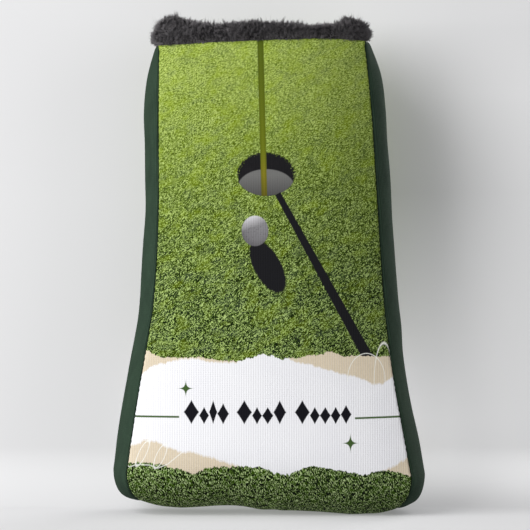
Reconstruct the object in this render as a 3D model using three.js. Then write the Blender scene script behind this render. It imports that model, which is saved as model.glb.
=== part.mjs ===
// A slip-on putter head cover: a sewn, padded sleeve with a furry cuff round its mouth.
//
// The outer shell is four knitted panels. A front and a back panel run down from the mouth, turn under the
// base and meet in a seam along its middle. A tongue-shaped gusset closes each side. Behind each panel lies
// a sheet of foam padding, and behind that a panel of pile lining, so the cover is three nested bags that
// hold the putter head. The cuff is a folded band of fur fabric sewn to the mouth, with an elastic band
// inside its fold.
//
// Millimetres. +Z runs up from the base to the mouth, +X is to the right as the front is seen, and the
// front panel faces -Y. The origin is the middle of the base, on the plane the cover stands on.
import * as THREE from "three";

// Driving dimensions ----------------------------------------------------------------------------------------
const MOUTH_Z = 210; // height of the seam between the shell and the cuff
const BASE_LIFT = 5.5; // height of the gussets' lower ends, above the flat middle of the base
const CORNER_R = 14; // radius of the turn from the front or back panel into the base
const CORNER_INSET = 8.1; // how far each side seam runs in towards the middle through that turn
const TURN_Z = BASE_LIFT + CORNER_R; // height at which that turn starts

// Distance of each side seam from the middle plane, as [height, distance]. The two sides differ a little.
const LEFT_SEAM = [
  [MOUTH_Z, 49.5], [182, 49.8], [127, 49.8], [91, 52.3], [56, 58.3], [TURN_Z, 63.6],
];
const RIGHT_SEAM = [
  [MOUTH_Z, 43.0], [182, 46.0], [127, 49.5], [91, 52.0], [56, 56.5], [TURN_Z, 63.6],
];
// Half the depth of the cover at its side seams, as [height, half depth].
const HALF_DEPTH = [[MOUTH_Z, 17], [150, 19], [90, 21], [TURN_Z, 26]];
const BASE_HALF_DEPTH = 12; // half the depth of the base's flat run between its turned edges
// How far the front and back panels stand out between their seams, as [height, crown].
const CROWN = [[MOUTH_Z, 5], [140, 6.5], [TURN_Z, BASE_LIFT]];
const FLAT_SHARE = 0.5; // share of the base's half width that is flat
// How far each gusset stands out between its seams, as [height, bulge]. Both are drawn in at the mouth.
const LEFT_BULGE = [[MOUTH_Z, 0.6], [187, 5.6], [150, 5.6], [TURN_Z, 5.2]];
const RIGHT_BULGE = [[MOUTH_Z, 1.4], [195, 5.4], [150, 5.6], [TURN_Z, 5.2]];

// Layers, as depths below the outer surface.
const SHELL = { from: 0, to: 1.0, edge: 0.15, firstRow: 0 };
const PADDING = { from: 1.4, to: 4.3, edge: 3.0, firstRow: 1 }; // it stops one row short of the mouth
const LINING = { from: 4.8, to: 8.7, edge: 0.2, firstRow: 0 };
const END_EASE = 9; // an edge inset of this size would shorten a gusset's turn to nothing

// Threads and the cuff.
const THREAD_R = 0.35;
const SHELL_THREAD_DEPTH = 2.0;
const LINING_THREAD_DEPTH = 3.5;
const MOUTH_THREAD = { depth: 2.9, drop: 1.6 };
const CUFF_GAP = 0.3; // between the cuff and the edges it is sewn to
const CUFF_HEIGHT = 9.2; // at the middle of the front and back
const CUFF_OVERHANG = 2.8; // how far the fur stands out past the shell
const CUFF_CORNER_RISE = 3.5; // extra height where the cuff turns round the sides
const CUFF_RISE_SPAN = [26, 42]; // distances from the mouth's middle over which it gains that height
const MOUTH_MIDDLE = (RIGHT_SEAM[0][1] - LEFT_SEAM[0][1]) / 2;
const CUFF_CHANNEL = { from: 1.4, to: 5.2, top: 5.8 }; // the fold that holds the elastic
const ELASTIC = { from: 2.6, to: 4.0, low: 0.7, high: 5.2 };

// Mesh density.
const SIDE_HEIGHTS = [MOUTH_Z, MOUTH_Z - 3.2, 198, 184, 162, 138, 114, 94, 75, 56, 38, TURN_Z];
const CORNER_STEPS = 4;
const BASE_STEPS = 2;
const PANEL_COLUMNS = 10;
const GUSSET_COLUMNS = 6;
const THREAD_STEPS = 72;
const SIDE_ROWS = SIDE_HEIGHTS.length - 1; // from the mouth to the turn under the base
const RUNGS = SIDE_ROWS + CORNER_STEPS; // from the mouth to the gusset's lower end
const ROWS = RUNGS + BASE_STEPS; // from the mouth to the base seam

const COLOURS = {
  print: "#6f9a2e", knit: "#374b3c", fur: "#343233", sherpa: "#2d2b2c",
  foam: "#d9d4c6", elastic: "#1d1d1f", shellThread: "#26382b", liningThread: "#202022",
};

// The cover's shape -----------------------------------------------------------------------------------------

// Smooth value at a height from a list of [height, value] that runs downwards.
function at(points, z) {
  const heights = points.map(([height]) => height);
  const i = Math.max(0, Math.min(points.length - 2, heights.findLastIndex((height) => z <= height)));
  const [[z0, v0], [z1, v1]] = [points[i], points[i + 1]];
  const slope = (a, b) => (points[b][1] - points[a][1]) / (points[b][0] - points[a][0]);
  const m0 = slope(Math.max(i - 1, 0), i + 1) * (z1 - z0);
  const m1 = slope(i, Math.min(i + 2, points.length - 1)) * (z1 - z0);
  const t = THREE.MathUtils.clamp((z - z0) / (z1 - z0), 0, 1);
  return THREE.MathUtils.lerp(v0, v1, t * t * (3 - 2 * t)) + m0 * t * (1 - t) ** 2 - m1 * t * t * (1 - t);
}

// The seam's path in side view at row k and a depth: half depth y, height z, and the way out (outY, -outZ).
// Its vertical part is followed by the turn under the base and then the base itself.
function path(k, depth, baseGap = 0) {
  if (k <= SIDE_ROWS) {
    const z = SIDE_HEIGHTS[k];
    return { y: at(HALF_DEPTH, z) - depth, z, outY: 1, outZ: 0, level: z, turn: 0 };
  }
  const turn = Math.min(1, (k - SIDE_ROWS) / CORNER_STEPS);
  const angle = (turn * Math.PI) / 2;
  const level = BASE_LIFT + CORNER_R * (1 - Math.sin(angle));
  const z = TURN_Z - (CORNER_R - depth) * Math.sin(angle);
  const along = Math.max(0, (k - RUNGS) / BASE_STEPS);
  const y = BASE_HALF_DEPTH + (CORNER_R - depth) * Math.cos(angle) - along * (BASE_HALF_DEPTH - baseGap);
  return { y, z, outY: Math.cos(angle), outZ: Math.sin(angle), level, turn };
}

// Distance of a side seam from the middle plane, at a height above the turn and a share of the turn itself.
function seam(side, level, turn, depth) {
  const outline = side < 0 ? LEFT_SEAM : RIGHT_SEAM;
  const inset = CORNER_INSET * (1 - Math.cos((turn * Math.PI) / 2));
  return at(outline, Math.max(level, TURN_Z)) - inset - depth;
}

// A point of the front (side -1) or back (side 1) panel. u runs from -1 at the left edge to 1 at the right.
function panelPoint(side, u, k, depth, edge = 0, baseGap = 0) {
  const { y, z, outY, outZ, level, turn } = path(k, depth, baseGap);
  const [left, right] = [-seam(-1, level, turn, depth), seam(1, level, turn, depth)];
  const x = THREE.MathUtils.lerp(left + edge, right - edge, (u + 1) / 2);
  const across = Math.abs((2 * x - left - right) / (right - left));
  const round = 1 - across ** 2;
  const flat = 1 - Math.max(0, (across - FLAT_SHARE) / (1 - FLAT_SHARE)) ** 2;
  const crown = at(CROWN, Math.max(level, TURN_Z)) * THREE.MathUtils.lerp(round, flat, turn);
  return new THREE.Vector3(x, side * (y + crown * outY), z - crown * outZ);
}

// A point of the left (side -1) or right (side 1) gusset. t runs from -1 at the front seam to 1 at the back.
// The gusset's surface lies nearly level at its lower end, so there an edge inset becomes a shorter turn.
function gussetPoint(side, t, k, depth, edge = 0) {
  const shorter = 1 - (edge / END_EASE) ** 2;
  const rung = k > SIDE_ROWS ? SIDE_ROWS + (k - SIDE_ROWS) * shorter : k;
  const { y, z, outY, level, turn } = path(rung, depth);
  const inset = t * (y - edge * outY);
  const fullness = Math.sqrt(1 - turn ** 4) * (1 - (inset / y) ** 2);
  const bulge = at(side < 0 ? LEFT_BULGE : RIGHT_BULGE, Math.max(level, TURN_Z)) * fullness;
  return new THREE.Vector3(side * (seam(side, level, turn, depth) + bulge), inset, z);
}

// A point of the mouth's outline, at a share of the way round from the front left corner.
const MOUTH_CORNERS = [0, 0.36, 0.5, 0.86, 1];
function mouthPoint(share, depth) {
  const [, right, back, left] = MOUTH_CORNERS;
  const within = (from, to) => THREE.MathUtils.mapLinear(share, from, to, -1, 1);
  if (share < right) return panelPoint(-1, within(0, right), 0, depth);
  if (share < back) return gussetPoint(1, within(right, back), 0, depth);
  if (share < left) return panelPoint(1, -within(back, left), 0, depth);
  return gussetPoint(-1, -within(left, 1), 0, depth);
}

// Making solids ---------------------------------------------------------------------------------------------

// Moves every vertex of a geometry, and turns the faces round if that mirrored them.
function bend(geometry, place) {
  const position = geometry.attributes.position;
  const from = new THREE.Vector3();
  for (let i = 0; i < position.count; i++) {
    const to = place(from.fromBufferAttribute(position, i));
    position.setXYZ(i, to.x, to.y, to.z);
  }
  if (volume(geometry) < 0) geometry.index.array.reverse();
  geometry.computeVertexNormals();
  return geometry;
}

function volume(geometry) {
  const { position } = geometry.attributes;
  const corner = (i) => new THREE.Vector3().fromBufferAttribute(position, geometry.index.getX(i));
  let sum = 0;
  for (let i = 0; i < geometry.index.count; i += 3) {
    sum += corner(i).dot(corner(i + 1).cross(corner(i + 2))) / 6;
  }
  return sum;
}

// A slab of one layer on a side of the cover: a box whose x, y and z become the way across, the rows down and
// the depth. Its x runs opposite ways on opposite sides, so that edges that meet are cut into the same facets.
function slab(side, columns, lastRow, layer, point) {
  const rows = lastRow - layer.firstRow;
  return bend(new THREE.BoxGeometry(2, rows, 1, columns, rows, 1), ({ x, y, z }) => {
    const k = layer.firstRow + Math.round(rows / 2 - y);
    return point(-side * x, k, THREE.MathUtils.lerp(layer.to, layer.from, z + 0.5));
  });
}

const panel = (side, layer) =>
  slab(side, PANEL_COLUMNS, ROWS, layer, (u, k, depth) =>
    panelPoint(side, u, k, depth, layer.edge, layer.edge),
  );

const gusset = (side, layer) =>
  slab(side, GUSSET_COLUMNS, RUNGS, layer, (t, k, depth) => gussetPoint(side, t, k, depth, layer.edge));

// A ring round the mouth from a closed section of [depth, height above the mouth] points. Whatever stands
// above the elastic's fold is raised by up to a rise where the ring turns round the sides.
function ring(section, rise = 0) {
  const LATHE_R = 100;
  const STATIONS = 50;
  const profile = [...section, section[0]].map(([depth, height]) => new THREE.Vector2(LATHE_R - depth, height));
  return bend(new THREE.LatheGeometry(profile, STATIONS), ({ x, y, z }) => {
    const station = Math.round((Math.atan2(x, z) / (2 * Math.PI)) * STATIONS + STATIONS) % STATIONS;
    const placed = mouthPoint(station / STATIONS, LATHE_R - Math.hypot(x, z));
    const sideways = THREE.MathUtils.smoothstep(Math.abs(placed.x - MOUTH_MIDDLE), ...CUFF_RISE_SPAN);
    const upwards = Math.max(0, y - CUFF_CHANNEL.top) / (CUFF_HEIGHT - CUFF_CHANNEL.top);
    placed.z = MOUTH_Z + y + rise * sideways * upwards;
    return placed;
  });
}

// A round thread through points.
function thread(points, steps) {
  const SIDES = 6;
  const round = new THREE.Shape().absarc(0, 0, THREAD_R, 0, 2 * Math.PI);
  const extrudePath = new THREE.CatmullRomCurve3(points);
  return new THREE.ExtrudeGeometry(round, { steps, extrudePath, curveSegments: SIDES / 2 });
}

// The one seam that joins a gusset to both panels: down the front, under its lower end, and up the back.
function sideThread(side, depth) {
  const rungs = Array.from({ length: RUNGS }, (_, k) => k + 1);
  const down = rungs.map((k) => gussetPoint(side, -1, k, depth));
  const up = rungs.map((k) => gussetPoint(side, 1, k, depth)).reverse();
  return thread([...down, ...up], THREAD_STEPS);
}

// The seam between the front and back panels under the base, clear of the side threads at both ends.
function baseThread(depth) {
  const reach = 0.9;
  const across = Array.from({ length: 9 }, (_, i) => reach * (i / 4 - 1));
  return thread(across.map((u) => panelPoint(1, u, ROWS, depth)), 16);
}

// A hexagonal section of a thread that runs round the mouth.
const threadSection = ({ depth, drop }) =>
  Array.from({ length: 6 }, (_, i) => (i * Math.PI) / 3).map((angle) => [
    depth + THREAD_R * Math.cos(angle),
    -drop + THREAD_R * Math.sin(angle),
  ]);

// The cuff's fold: an outer leg, a rounded top and an inner leg, open below where the elastic goes in.
const CUFF_SECTION = [
  [1 - CUFF_OVERHANG, CUFF_GAP], [-CUFF_OVERHANG, 3], [0.6 - CUFF_OVERHANG, 7], [0.4, CUFF_HEIGHT],
  [5.4, CUFF_HEIGHT], [LINING.to - 0.6, 7], [LINING.to, 3], [LINING.to - 0.5, CUFF_GAP],
  [CUFF_CHANNEL.to, CUFF_GAP], [CUFF_CHANNEL.to, CUFF_CHANNEL.top],
  [CUFF_CHANNEL.from, CUFF_CHANNEL.top], [CUFF_CHANNEL.from, CUFF_GAP],
];
const ELASTIC_SECTION = [
  [ELASTIC.from, ELASTIC.low], [ELASTIC.from, ELASTIC.high],
  [ELASTIC.to, ELASTIC.high], [ELASTIC.to, ELASTIC.low],
];

// The assembly ----------------------------------------------------------------------------------------------
const cover = new THREE.Group();

function add(name, geometry, color, roughness = 0.95) {
  const mesh = new THREE.Mesh(geometry, new THREE.MeshStandardMaterial({ color, roughness, metalness: 0 }));
  mesh.name = name;
  cover.add(mesh);
}

function addLayer(suffix, layer, panelColour, gussetColour) {
  add(`front_${suffix}`, panel(-1, layer), panelColour);
  add(`back_${suffix}`, panel(1, layer), panelColour);
  add(`left_${suffix === "panel" ? "gusset" : suffix}`, gusset(-1, layer), gussetColour);
  add(`right_${suffix === "panel" ? "gusset" : suffix}`, gusset(1, layer), gussetColour);
}

addLayer("panel", SHELL, COLOURS.print, COLOURS.knit);
addLayer("padding", PADDING, COLOURS.foam, COLOURS.foam);
addLayer("lining", LINING, COLOURS.sherpa, COLOURS.sherpa);
add("left_side_seam_thread", sideThread(-1, SHELL_THREAD_DEPTH), COLOURS.shellThread);
add("right_side_seam_thread", sideThread(1, SHELL_THREAD_DEPTH), COLOURS.shellThread);
add("base_seam_thread", baseThread(SHELL_THREAD_DEPTH), COLOURS.shellThread);
add("left_lining_thread", sideThread(-1, LINING_THREAD_DEPTH), COLOURS.liningThread);
add("right_lining_thread", sideThread(1, LINING_THREAD_DEPTH), COLOURS.liningThread);
add("base_lining_thread", baseThread(LINING_THREAD_DEPTH), COLOURS.liningThread);
add("mouth_seam_thread", ring(threadSection(MOUTH_THREAD)), COLOURS.shellThread);
add("fur_cuff", ring(CUFF_SECTION, CUFF_CORNER_RISE), COLOURS.fur);
add("cuff_elastic", ring(ELASTIC_SECTION), COLOURS.elastic, 0.8);

export default cover;
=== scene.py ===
"""The looks of a slip-on putter head cover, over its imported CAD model. Lengths are mm up to each mesh."""
import functools
import math

import bpy
import numpy as np
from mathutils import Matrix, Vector


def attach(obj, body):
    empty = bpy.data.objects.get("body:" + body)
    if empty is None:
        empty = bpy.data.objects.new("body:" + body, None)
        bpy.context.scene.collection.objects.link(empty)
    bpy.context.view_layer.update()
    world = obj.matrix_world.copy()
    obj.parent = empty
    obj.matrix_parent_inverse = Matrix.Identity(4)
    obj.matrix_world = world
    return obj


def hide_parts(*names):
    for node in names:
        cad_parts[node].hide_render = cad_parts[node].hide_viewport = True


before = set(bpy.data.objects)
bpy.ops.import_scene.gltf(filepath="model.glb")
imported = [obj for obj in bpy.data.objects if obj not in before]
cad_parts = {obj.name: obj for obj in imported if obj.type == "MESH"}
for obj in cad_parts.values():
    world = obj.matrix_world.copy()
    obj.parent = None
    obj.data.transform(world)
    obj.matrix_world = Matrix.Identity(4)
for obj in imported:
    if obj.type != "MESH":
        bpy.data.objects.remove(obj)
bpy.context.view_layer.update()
MM = 0.001


def linked(name, data):
    """A new object in the scene."""
    made = bpy.data.objects.new(name, data)
    bpy.context.scene.collection.objects.link(made)
    return made


# --- Numbers and curves

def smoothstep(low, high, value):
    t = np.clip((value - low) / (high - low), 0, 1)
    return t * t * (3 - 2 * t)


def spline(knots, values):
    """A smooth curve through values at rising knots."""
    knots, values = np.asarray(knots, float), np.asarray(values, float)
    slopes = np.gradient(values, knots)

    def curve(v):
        v = np.clip(v, knots[0], knots[-1])
        i = np.clip(np.searchsorted(knots, v, side="right") - 1, 0, len(knots) - 2)
        h = knots[i + 1] - knots[i]
        t = (v - knots[i]) / h
        ends = values[i] * (1 + 2 * t) * (1 - t) ** 2 + values[i + 1] * t * t * (3 - 2 * t)
        return ends + h * t * (1 - t) * (slopes[i] * (1 - t) - slopes[i + 1] * t)

    return curve


def noise(points, pitch, seed):
    """Smooth noise from -1 to 1 at points, with bumps about pitch apart."""
    scaled = np.asarray(points, float) / pitch
    cell = np.floor(scaled).astype(np.int64)
    share = scaled - cell
    share = share * share * (3 - 2 * share)
    total = np.zeros(scaled.shape[:-1])
    for corner in np.ndindex(2, 2, 2):
        c = cell + np.array(corner)
        h = (c @ np.array([374761393, 668265263, 974634777]) + seed * 144665) & 0xFFFFFFFF
        h = ((h ^ (h >> 13)) * 1274126177) & 0xFFFFFFFF
        value = ((h ^ (h >> 16)) & 0xFFFF) / 32767.5 - 1
        total += value * np.prod(np.where(np.array(corner) == 1, share, 1 - share), axis=-1)
    return total


def resample(grid, rows, cols):
    """Reads a grid of values at fractional rows and columns, smoothly."""
    down = np.stack([spline(np.arange(grid.shape[0]), grid[:, j])(rows) for j in range(grid.shape[1])], 1)
    return np.stack([spline(np.arange(grid.shape[1]), down[i])(cols) for i in range(len(rows))], 0)


# --- The cover's outline, read from the CAD nodes

def node_points(node):
    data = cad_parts[node].data
    co = np.empty(len(data.vertices) * 3, np.float32)
    data.vertices.foreach_get("co", co)
    return co.reshape(-1, 3).astype(float) / MM


def cut(node, height):
    """The points where a CAD node's edges cross a height."""
    points = node_points(node)
    edges = np.array([e.vertices[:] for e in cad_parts[node].data.edges])
    a, b = points[edges[:, 0]], points[edges[:, 1]]
    crossing = (a[:, 2] - height) * (b[:, 2] - height) < 0
    a, b = a[crossing], b[crossing]
    return a + ((height - a[:, 2]) / (b[:, 2] - a[:, 2]))[:, None] * (b - a)


gusset_end = node_points("left_gusset")
gusset_end = gusset_end[gusset_end[:, 2] < gusset_end[:, 2].min() + 0.05]
MOUTH_Z = node_points("front_panel")[:, 2].max()
BASE_Z = gusset_end[:, 2].min()
BASE_HALF = gusset_end[:, 1].max()
BASE_SEAM_X = -gusset_end[:, 0].max()
CORNER_R = node_points("left_gusset")[:, 1].max() - BASE_HALF
TURN_Z = BASE_Z + CORNER_R
SIDE_RUN = MOUTH_Z - TURN_Z
CORNER_RUN = CORNER_R * math.pi / 2
TONGUE_RUN = SIDE_RUN + CORNER_RUN  # from the mouth to a gusset's lower end
FULL_RUN = TONGUE_RUN + BASE_HALF  # from the mouth to the seam under the base

heights = np.linspace(TURN_Z + 0.1, MOUTH_Z - 0.1, 14)
cuts = {node: [cut(node, z) for z in heights] for node in ("front_panel", "left_gusset", "right_gusset")}
left_seam = spline(heights, [-c[:, 0].min() for c in cuts["front_panel"]])
right_seam = spline(heights, [c[:, 0].max() for c in cuts["front_panel"]])
half_depth = spline(heights, [c[:, 1].max() for c in cuts["left_gusset"]])
crown = spline(heights, [-c[:, 1].min() for c in cuts["front_panel"]] - half_depth(heights))
left_bulge = spline(heights, [-c[:, 0].min() for c in cuts["left_gusset"]] - left_seam(heights))
right_bulge = spline(heights, [c[:, 0].max() for c in cuts["right_gusset"]] - right_seam(heights))
CORNER_INSET = left_seam(TURN_Z) - BASE_SEAM_X


# --- The cover's shape

FLAT_SHARE = 0.45  # share of the base's half width that hangs level
# Heights that the cloth gains across its width, at the mouth and at the base, as it hangs.
mouth_hang = spline([-54, -40, -20, 0, 25, 38, 46], [-1.6, -0.7, 0.6, 1.4, 1.7, 1.2, 0.4])
base_hang = spline(
    [-66, -57, -48, -39.6, -30.7, -22, -13, -3, 14, 31, 36, 43, 52, 60, 64],
    [0.3, 0.5, 1.2, 2.1, 3.5, 4.3, 4.2, 2.6, 2.0, 0.6, -0.3, -1.2, -2.6, -2.9, -2.4],
)
# How much fuller than sewn flat the gussets sit, by height.
left_swell = spline(
    [0, 6, 11, 16, 24, 33, 60, 96, 111, 140, 180, 198, 210],
    [1.4, 1.4, 1.1, 0.9, 0.8, 1.0, 0.6, 0.6, 0.8, 0.2, 0.4, 0.9, 0.9],
)
right_swell = spline(
    [0, 6, 11, 20, 33, 46, 73, 82, 96, 111, 144, 198, 210],
    [2.2, 1.8, 1.2, 1.0, 1.0, 0.3, 0.5, 1.1, 0.9, 0.6, 0.6, 0.5, 0.9],
)


def path(s, depth):
    """A seam in side view, s mm down from the mouth: half depth, height, way out (y and z), level, turn."""
    turn = np.clip((s - SIDE_RUN) / CORNER_RUN, 0, 1)
    angle = turn * math.pi / 2
    below = np.minimum(s, SIDE_RUN)
    along = np.clip((s - TONGUE_RUN) / BASE_HALF, 0, 1)
    level = MOUTH_Z - below - CORNER_R * np.sin(angle)
    z = MOUTH_Z - below - (CORNER_R - depth) * np.sin(angle)
    turned = BASE_HALF * (1 - along) + (CORNER_R - depth) * np.cos(angle)
    y = np.where(s <= SIDE_RUN, half_depth(level) - depth, turned)
    return y, z, np.cos(angle), np.sin(angle), level, turn


def seam_x(side, level, turn, depth):
    outline = left_seam if side < 0 else right_seam
    return outline(np.maximum(level, TURN_Z)) - CORNER_INSET * (1 - np.cos(turn * math.pi / 2)) - depth


def hang(points):
    """Lets a place on the cover settle as the cloth hangs."""
    x, z = points[..., 0], points[..., 2]
    top = smoothstep(MOUTH_Z - 70, MOUTH_Z, z)
    bottom = 1 - smoothstep(TURN_Z - 10, TURN_Z + 26, z)
    moved = points.copy()
    moved[..., 2] += mouth_hang(x) * top + base_hang(x) * bottom
    return moved


def panel_point(side, u, s, depth):
    """Places on the front (side -1) or back (side 1) panel, u from -1 at its left edge to 1 at its right."""
    u, s, depth = np.broadcast_arrays(u, s, depth)
    y, z, out_y, out_z, level, turn = path(s, depth)
    left, right = -seam_x(-1, level, turn, depth), seam_x(1, level, turn, depth)
    x = left + (right - left) * (u + 1) / 2
    across = np.abs(u)
    flat = 1 - np.clip((across - FLAT_SHARE) / (1 - FLAT_SHARE), 0, 1) ** 2
    stand = np.where(turn > 0, crown(np.maximum(level, TURN_Z)), crown(level))
    stand = stand * ((1 - across**2) * (1 - turn) + flat * turn)
    return np.stack([x, side * (y + stand * out_y), z - stand * out_z], -1)


def gusset_point(side, t, s, depth):
    """Places on the left (side -1) or right (side 1) gusset, t from -1 at the front seam to 1 at the back."""
    t, s, depth = np.broadcast_arrays(t, s, depth)
    y, z, _, _, level, turn = path(s, depth)
    bulge = left_bulge if side < 0 else right_bulge
    swell = left_swell if side < 0 else right_swell
    stand = (bulge(np.maximum(level, TURN_Z)) + swell(z)) * np.sqrt(1 - np.minimum(turn, 1) ** 4) * (1 - t**2)
    return np.stack([side * (seam_x(side, level, turn, depth) + stand), t * y, z], -1)


# --- The shell as simulated cloth

SIM_PITCH = 3.0
SIDE_ROWS = round(SIDE_RUN / SIM_PITCH)
CORNER_ROWS = round(CORNER_RUN / SIM_PITCH)
BASE_ROWS = round(BASE_HALF / SIM_PITCH)
PANEL_COLUMNS = 36
GUSSET_COLUMNS = 2 * BASE_ROWS  # so that a gusset's lower end meets the base's rows
RUN_STATIONS = np.concatenate([
    np.linspace(0, SIDE_RUN, SIDE_ROWS + 1),
    np.linspace(SIDE_RUN, TONGUE_RUN, CORNER_ROWS + 1)[1:],
    np.linspace(TONGUE_RUN, FULL_RUN, BASE_ROWS + 1)[1:],
])
TONGUE_STATIONS = RUN_STATIONS[: SIDE_ROWS + CORNER_ROWS + 1]
PATCHES = {
    "front": (functools.partial(panel_point, -1), PANEL_COLUMNS, RUN_STATIONS),
    "back": (functools.partial(panel_point, 1), PANEL_COLUMNS, RUN_STATIONS),
    "left": (functools.partial(gusset_point, -1), GUSSET_COLUMNS, TONGUE_STATIONS),
    "right": (functools.partial(gusset_point, 1), GUSSET_COLUMNS, TONGUE_STATIONS),
}
SIM_SCALE = 10.0  # the cloth solver is steadier on a larger piece
SIM_FRAMES = 16
FULLNESS = 0.006  # share by which the cloth is longer than the seams it is gathered to
MOST_MOVE = 2.2
CLOTH = {
    "quality": 6, "mass": 0.2, "tension_stiffness": 12, "compression_stiffness": 12, "shear_stiffness": 6,
    "bending_stiffness": 0.6, "vertex_group_mass": "seams", "shrink_min": -FULLNESS, "shrink_max": -FULLNESS,
    "use_pressure": True, "uniform_pressure_force": 1.5,
}
EVENINGS = {"front": 3, "back": 3, "left": 10, "right": 10}  # times that a patch's creases are smoothed


def cloth_moves():
    """How far each patch's cloth moves when it is held by its seams and lightly filled, as grids."""
    index, points, quads, pinned, grids = {}, [], [], set(), {}
    for name, (place, columns, stations) in PATCHES.items():
        grid = place(np.linspace(-1, 1, columns + 1)[None, :], stations[:, None], 0.0)
        ids = np.empty(grid.shape[:2], int)
        for (i, j), _ in np.ndenumerate(ids):
            key = tuple(np.round(grid[i, j], 3) + 0.0)
            if key not in index:
                index[key] = len(points)
                points.append(grid[i, j])
            ids[i, j] = index[key]
        pinned.update(ids[0], ids[-1], ids[:, 0], ids[:, -1])
        turned = ids[:, ::-1] if name in ("back", "left") else ids
        a, b, c, d = turned[:-1, :-1], turned[1:, :-1], turned[1:, 1:], turned[:-1, 1:]
        quads.append(np.stack([a, b, c, d], -1).reshape(-1, 4))
        grids[name] = ids
    mesh = bpy.data.meshes.new("cloth")
    mesh.from_pydata(np.array(points) * MM * SIM_SCALE, [], np.concatenate(quads))
    cloth = linked("cloth", mesh)
    cloth.vertex_groups.new(name="seams").add(sorted(int(i) for i in pinned), 1.0, "REPLACE")
    settings = cloth.modifiers.new("cloth", "CLOTH").settings
    for key, value in CLOTH.items():
        setattr(settings, key, value)
    settings.effector_weights.gravity = 0
    scene = bpy.context.scene
    for number in range(1, SIM_FRAMES + 1):
        scene.frame_set(number)
    result = cloth.evaluated_get(bpy.context.evaluated_depsgraph_get())
    moved = np.array([v.co for v in result.data.vertices]) / (MM * SIM_SCALE) - np.array(points)
    length = np.linalg.norm(moved, axis=1, keepdims=True)
    moved *= MOST_MOVE * np.tanh(length / MOST_MOVE) / np.maximum(length, 1e-9)
    bpy.data.objects.remove(cloth)
    scene.frame_set(1)
    return {name: evened(moved[ids], EVENINGS[name]) for name, ids in grids.items()}


def evened(grid, times):
    """The grid with its creases smoothed down each column."""
    grid = grid.copy()
    for _ in range(times):
        grid[1:-1] = (grid[:-2] + 2 * grid[1:-1] + grid[2:]) / 4
    return grid


moves = cloth_moves()


def surface(name, across, s, depth):
    """Places on a patch at a grid of stations across and down, with the cloth's own movement."""
    place, columns, stations = PATCHES[name]
    points = place(across[None, :], s[:, None], depth)
    if moves is not None:
        rows = np.interp(s, stations, np.arange(len(stations)))
        cols = (across + 1) / 2 * columns
        points = points + np.stack([resample(moves[name][..., k], rows, cols) for k in range(3)], -1)
    return hang(points)


# --- Materials

def srgb(r, g, b):
    """A colour given as it looks on screen, from 0 to 255, as the renderer's linear one."""
    channels = np.array([r, g, b]) / 255
    linear = np.where(channels <= 0.04045, channels / 12.92, ((channels + 0.055) / 1.055) ** 2.4)
    return (*linear, 1.0)


class Value:
    """A number, vector or colour that a material's nodes work out, with Python's operators for numbers."""

    def __init__(self, graph, socket):
        self.graph, self.socket = graph, socket

    def __rsub__(self, other):
        return self.graph.math("SUBTRACT", other, self)


OPERATORS = {
    "add": "ADD", "radd": "ADD", "sub": "SUBTRACT", "mul": "MULTIPLY", "rmul": "MULTIPLY",
    "truediv": "DIVIDE", "abs": "ABSOLUTE",
}
for method, operation in OPERATORS.items():
    setattr(Value, f"__{method}__", lambda *values, name=operation: values[0].graph.math(name, *values))

CURVE_TOP = 100.0  # a drawn curve's points are all lower than this


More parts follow.
